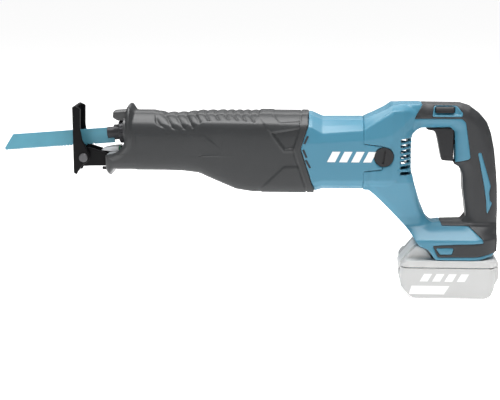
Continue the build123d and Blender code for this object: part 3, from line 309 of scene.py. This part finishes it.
def cover_ring(share, ahead=0.0, lift=None):
    """A closed ring of points, share of the way from the mouth to the seam, raised by lift(x, y, z)."""
    outline = cover_section(100.0)
    for _ in range(3):
        z = outline[:, 1]
        x = mouth_x(z) + ahead + (seam_x(z) - mouth_x(z) - ahead) * share
        outline = np.array([cover_section_table(value)[i] for i, value in enumerate(x)])
    z = outline[:, 1]
    x = mouth_x(z) + ahead + (seam_x(z) - mouth_x(z) - ahead) * share
    along = np.roll(outline, -1, axis=0) - np.roll(outline, 1, axis=0)
    normal = np.column_stack([along[:, 1], -along[:, 0]]) / np.hypot(*along.T)[:, None]
    if (outline * normal).sum() < 0:
        normal = -normal
    outline = outline + normal * np.reshape(lift(x, outline[:, 0], outline[:, 1]), (-1, 1))
    return np.column_stack([x, outline])


SECTION_TABLE = np.array([cover_section(x) for x in np.arange(36, 282, 1.0)])


def cover_section_table(x):
    """The section at x, read between the ready-made ones."""
    place = np.clip(x - 36, 0, len(SECTION_TABLE) - 1.001)
    low = int(place)
    return SECTION_TABLE[low] * (1 - place + low) + SECTION_TABLE[low + 1] * (place - low)


def inner_side(x, y, z):
    return np.full(np.shape(x), -cover_wall)


def outer_side(x, y, z):
    ahead = seam_x(z) - x
    bead = -1.0 * np.exp(-(((ahead - 8.6) / 0.7) ** 2)) + 0.45 * ease((8.6 - ahead) / 0.8)
    return np.maximum(cover_relief(x, y, z), -2.1) * ease((ahead - 8.0) / 1.5) + cover_rim(x, y, z) + bead


rings = [cover_ring(share, 0.7, inner_side) for share in (1.0, 0.8, 0.6, 0.4, 0.2, 0.0)]
for depth, sunk in ((0.25, 2.0), (0.0, 1.0), (0.0, 0.45), (0.3, 0.08)):
    rings.append(cover_ring(0.0, depth, lambda x, y, z: outer_side(x, y, z) * (1 - 0.25 * sunk) - sunk))
for i in range(1, lengthwise):
    share = i / lengthwise
    rings.append(cover_ring(0.72 * share + 0.28 * share * share, 0.3, outer_side))
rings.append(cover_ring(1.0, 0.3, lambda x, y, z: outer_side(x, y, z) - 0.35))
rings.append(cover_ring(1.0, 0.3, lambda x, y, z: outer_side(x, y, z) - 1.2))
bpy.ops.object.select_all(action="DESELECT")
bpy.ops.mesh.primitive_cylinder_add(vertices=around, radius=0.03, depth=0.2, end_fill_type="NOTHING")
cover = bpy.context.active_object
cover.name = "nose_cover_skin"
work = bmesh.new()
corners = [[work.verts.new(Vector(point) * MM) for point in ring] for ring in rings]
for ring, beyond in zip(corners, corners[1:] + corners[:1]):
    for i in range(around):
        j = (i + 1) % around
        work.faces.new((ring[i], ring[j], beyond[j], beyond[i]))
bmesh.ops.recalc_face_normals(work, faces=work.faces)
work.to_mesh(cover.data)
work.free()
for polygon in cover.data.polygons:
    polygon.use_smooth = True
cover.data.materials.append(finishes["cover_rubber"])
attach(cover, "housing")
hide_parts("nose_cover")

# ---------------------------------------------------------------- cast nose and its works
# The gear housing is cast and bare; shafts, gears and bushes in it are turned, cut and ground steel or bronze.
# All of it keeps its true shape and gets only its finish.
finishes["casting"] = moulded("casting", (0.42, 0.43, 0.44), 0.5, grain=700, depth=0.12, metal=0.9)
finishes["machined_steel"] = moulded(
    "machined_steel", (0.52, 0.53, 0.54), 0.3, grain=420, depth=0.05, metal=1.0, stretch=(1, 6, 6)
)
finishes["dark_steel"] = moulded(
    "dark_steel", (0.035, 0.035, 0.038), 0.40, grain=800, depth=0.08, metal=0.5, shine=0.3
)
finishes["bronze"] = moulded("bronze", (0.55, 0.38, 0.18), 0.35, metal=1.0)
finishes["copper"] = moulded("copper", (0.62, 0.28, 0.13), 0.32, metal=1.0)
finishes["carbon"] = moulded("carbon", (0.05, 0.05, 0.055), 0.6, depth=0.1)
finishes["magnet"] = moulded("magnet", (0.09, 0.09, 0.10), 0.6, metal=0.3)

# ---------------------------------------------------------------- shoe and its arm
# Pressed steel plates with a black baked finish; the arm slides in the nose and the shoe tilts on a steel pin.


def worked_copy(node, piece_name, body, slot):
    """A copy of a node's own mesh, with its loose triangles merged, that stands for that node."""
    bpy.ops.object.select_all(action="DESELECT")
    piece = frame["nodes"][node].copy()
    piece.data = piece.data.copy()
    piece.name = piece_name
    bpy.context.scene.collection.objects.link(piece)
    piece.select_set(True)
    bpy.context.view_layer.objects.active = piece
    bpy.ops.object.mode_set(mode="EDIT")
    bpy.ops.mesh.select_all(action="SELECT")
    bpy.ops.mesh.remove_doubles(threshold=0.00001)
    bpy.ops.object.mode_set(mode="OBJECT")
    piece.data.materials.clear()
    piece.data.materials.append(finishes[slot])
    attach(piece, body)
    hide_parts(node)
    return piece


def soften(piece, voxel, rounds, factor=0.5):
    """Remeshes a moulding evenly and eases all its edges, as a mould's radii do."""
    bpy.context.view_layer.objects.active = piece
    remesh = piece.modifiers.new("even", "REMESH")
    remesh.mode = "VOXEL"
    remesh.voxel_size = voxel
    bpy.ops.object.modifier_apply(modifier=remesh.name)
    ease_edges = piece.modifiers.new("ease", "SMOOTH")
    ease_edges.factor = factor
    ease_edges.iterations = rounds
    bpy.ops.object.modifier_apply(modifier=ease_edges.name)
    for polygon in piece.data.polygons:
        polygon.use_smooth = True


finishes["shoe_black"] = moulded("shoe_black", (0.005, 0.005, 0.0055), 0.30, grain=650, depth=0.05, shine=0.1)
shoe = worked_copy("shoe", "shoe_plate", "shoe", "shoe_black")
soften(shoe, 0.0006, 3)
shoe_arm = worked_copy("shoe_arm", "shoe_arm_plate", "shoe_arm", "shoe_black")
soften(shoe_arm, 0.0007, 3)

# ---------------------------------------------------------------- blade, its clamp and the release lever
# A painted steel blade, gripped by a hardened sleeve; the moulded nylon lever on the brow turns the sleeve.
finishes["blade_paint"] = moulded(
    "blade_paint", (0.075, 0.27, 0.36), 0.42, grain=260, depth=0.10, drift=0.14, stretch=(0.15, 1, 1)
)
finishes["black_plastic"] = moulded("black_plastic", (0.015, 0.015, 0.0165), 0.42, depth=0.07, shine=0.32)
lever = worked_copy("release_lever", "release_lever_moulding", "release_lever", "black_plastic")
soften(lever, 0.0006, 6)
lever.data.materials[0] = moulded("lever_nylon", (0.045, 0.046, 0.048), 0.35, grain=900, depth=0.06)
sleeve = worked_copy("clamp_sleeve", "clamp_sleeve_turned", "clamp_sleeve", "dark_steel")
soften(sleeve, 0.0005, 4)

# ---------------------------------------------------------------- motor housing
# A blue glass-filled nylon moulding round the motor, screwed to the gear housing under the rubber cover.
finishes["housing_blue"] = moulded("housing_blue", (0.052, 0.200, 0.292), 0.36, depth=0.05, drift=0.03)
motor_housing = worked_copy("motor_housing", "motor_housing_shell", "housing", "housing_blue")
soften(motor_housing, 0.0010, 6)

# ---------------------------------------------------------------- marks and painted vent shade
# Slanted white bars are printed on the housing and the battery, with a pale label beside them; three dark skins
# stand along the chevron as painted shade for the hollows of its vents. Each is a thin skin with an eased edge.


def thin_skin(name, corners, face, depth, body, slot):
    """A flat outline of (x, z) corners, as thick as depth, half of it on either side of y = face."""
    bpy.ops.object.select_all(action="DESELECT")
    bpy.ops.mesh.primitive_circle_add(vertices=len(corners), radius=0.01, fill_type="NGON")
    skin = bpy.context.active_object
    skin.name = name
    for vertex, (x, z) in zip(skin.data.vertices, corners):
        vertex.co = (x * MM, face * MM, z * MM)
    thick = skin.modifiers.new("thick", "SOLIDIFY")
    thick.thickness = depth * MM
    thick.offset = 0.0
    bpy.ops.object.modifier_apply(modifier=thick.name)
    edges = skin.modifiers.new("edges", "BEVEL")
    edges.width = depth * MM * 0.3
    edges.segments = 2
    bpy.ops.object.modifier_apply(modifier=edges.name)
    bpy.ops.object.mode_set(mode="EDIT")
    bpy.ops.mesh.select_all(action="SELECT")
    bpy.ops.mesh.normals_make_consistent(inside=False)
    bpy.ops.object.mode_set(mode="OBJECT")
    skin.data.materials.append(finishes[slot])
    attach(skin, body)


housing_side, battery_side = -38.0, -37.5
# The last number is the thickness of the dark skins that paint the shade of the vents.
ink, label_film, vent_shade_depth = 0.24, 0.2, 0.5
bars = 4


def slanted_bar(left, low, high, width, slant):
    """Corners of one bar that leans rearwards from its lower left corner."""
    return [(left, low), (left + width, low), (left + width + slant, high), (left + slant, high)]


finishes["battery_light"] = moulded("battery_light", (0.78, 0.78, 0.775), 0.42, depth=0.04, drift=0.015)
for i in range(bars):
    thin_skin(f"housing_bar_{i}", slanted_bar(291 + 13.5 * i, -20, -8, 9, 6), housing_side, ink,
              "housing", "battery_light")
for i in range(bars):
    thin_skin(f"battery_bar_{i}", slanted_bar(398 + 14 * i, -157, -148, 9, 5), battery_side, ink,
              "battery", "battery_light")
thin_skin("battery_label", [(386, -172), (426, -172), (432, -162), (389, -162)], battery_side, label_film,
          "battery", "battery_light")
# Painted shade: dark skins lie where the vent slots are, standing for the shade in their hollows.
VENT_SHADES = [
    [(264.2, 0.5), (266.6, 0.0), (270.6, 9.0), (268.2, 9.5)],
    [(262.9, -6.4), (265.3, -5.8), (269.3, -14.9), (266.9, -15.5)],
    [(266.0, -18.1), (268.4, -17.5), (273.4, -26.6), (271.0, -27.2)],
]
for i, corners in enumerate(VENT_SHADES):
    thin_skin(f"seam_vent_shade_{i}", corners, housing_side + 0.05, vent_shade_depth, "housing", "dark_steel")

# ---------------------------------------------------------------- handle halves and grip rubber
# Two blue clamshells meet at the middle; dark rubber is moulded over the grip, the arm and the foot.
HANDLE_OUTLINE = [
    (332, 26.8), (346, 33), (357.2, 37.8), (365, 43), (393.6, 43.4), (441.3, 43), (452.7, 39.6),
    (464.3, 31.1), (471.4, 22.6), (476.3, 10), (480.4, -8.4), (483.6, -33.9), (485.2, -51.4), (486.3, -78),
    (486.4, -96), (486.2, -110), (486, -124), (480, -129.6), (466, -132.6), (415.5, -132.6), (407, -120.8),
    (396.5, -116.2), (387.1, -103.4), (352.1, -66.3), (338.2, -52.9),
]
HAND_OPENING = [
    (387, 8.8), (391.5, 13.4), (397, 16), (430, 16.8), (435.5, 12), (437.2, -22), (434.5, -24.7),
    (440.8, -28.3), (444.2, -33.5), (445.7, -40), (446.6, -55.3), (449.3, -72.8), (450.8, -85.5), (445.8, -91.5),
    (421.5, -92.3), (411.6, -93.6), (405.4, -88), (397, -67.5), (389.6, -44.3), (387, -32.7), (386.4, -7.3),
]


trigger_slot = 9.6


def round_handle(piece):
    """Draws the sides in towards every edge of the grip, and rounds the foot's rear end in plan."""
    count = len(piece.data.vertices)
    points = np.empty(count * 3)
    piece.data.vertices.foreach_get("co", points)
    points = points.reshape(-1, 3) / MM
    x, y, z = points.T
    outside = edge_distance(x, z, HANDLE_OUTLINE, closed=True)
    near = np.minimum(outside, edge_distance(x, z, HAND_OPENING, closed=True))
    grip_zone = ease((x - 390) / 14) * ease((z + 104) / 12)
    strut_zone = ease((z + 110) / 10) * (1 - grip_zone) * ease((x - 336) / 10)
    # The middle of the grip, as wide as the trigger's slot, keeps its place.
    beyond = np.maximum(np.abs(y) - trigger_slot, 0)
    draw = 1 - 0.85 * grip_zone * (1 - np.clip(near / 14, 0, 1)) ** 2.2
    y = np.sign(y) * (np.minimum(np.abs(y), trigger_slot) + beyond * draw)
    draw = 1 - 0.16 * strut_zone * (1 - np.clip(near / 9, 0, 1)) ** 2
    foot_zone = ease((-94 - z) / 12)
    draw *= 1 - 0.40 * foot_zone * np.clip(1 - (484.5 - x) / 32, 0, 1) ** 2.2
    points[:, 1] = y * draw
    piece.data.vertices.foreach_set("co", (points * MM).reshape(-1))
    piece.data.update()


finishes["grip_rubber"] = moulded("grip_rubber", (0.025, 0.026, 0.028), 0.46, grain=1600, depth=0.12, shine=0.4)
for side in ("left", "right"):
    half = worked_copy(f"handle_{side}", f"handle_shell_{side}", "housing", "housing_blue")
    soften(half, 0.0010, 4)
    round_handle(half)
    rubber = worked_copy(f"grip_rubber_{side}", f"grip_overmould_{side}", "housing", "grip_rubber")
    soften(rubber, 0.0009, 5)
    round_handle(rubber)

# ---------------------------------------------------------------- trigger and lock-off button
# Black acetal mouldings; the trigger slides into the grip and the button crosses the arm.
trigger = worked_copy("trigger", "trigger_moulding", "trigger", "black_plastic")
soften(trigger, 0.0006, 8)
lock_off = worked_copy("lock_off_button", "lock_off_moulding", "lock_off_button", "black_plastic")
soften(lock_off, 0.0006, 6)
round_handle(lock_off)

# ---------------------------------------------------------------- battery pack
# Two pale grey case halves, welded at the split, and a lighter release button on the front.
finishes["battery_grey"] = moulded("battery_grey", (0.50, 0.50, 0.495), 0.5, depth=0.05, drift=0.02)
for node in ("battery_case_top", "battery_case_lower"):
    case = worked_copy(node, f"{node}_shell", "battery", "battery_grey")
    soften(case, 0.0011, 5)
button = worked_copy("battery_button", "battery_button_moulding", "battery_button", "battery_light")
soften(button, 0.0006, 5)

# ---------------------------------------------------------------- lamp, boards, cells and all the bare pieces
# The pieces that keep their true shape get their finish here; the shoe's pin is a darker steel than the rest.
finishes["board_green"] = moulded("board_green", (0.03, 0.16, 0.09), 0.4)
finishes["cell_sleeve"] = moulded("cell_sleeve", (0.03, 0.20, 0.30), 0.35)
finishes["clear_lens"] = moulded("clear_lens", (0.62, 0.64, 0.66), 0.18, depth=0.02, coat=0.6)
for entry in frame["record"]["subparts"]:
    node = frame["nodes"][entry["node"]]
    node.data.materials.clear()
    node.data.materials.append(finishes[entry["material_slot"]])
pin_steel = moulded("pin_steel", (0.10, 0.10, 0.105), 0.42, grain=500, depth=0.06, metal=0.7)
frame["nodes"]["shoe_pin"].data.materials[0] = pin_steel
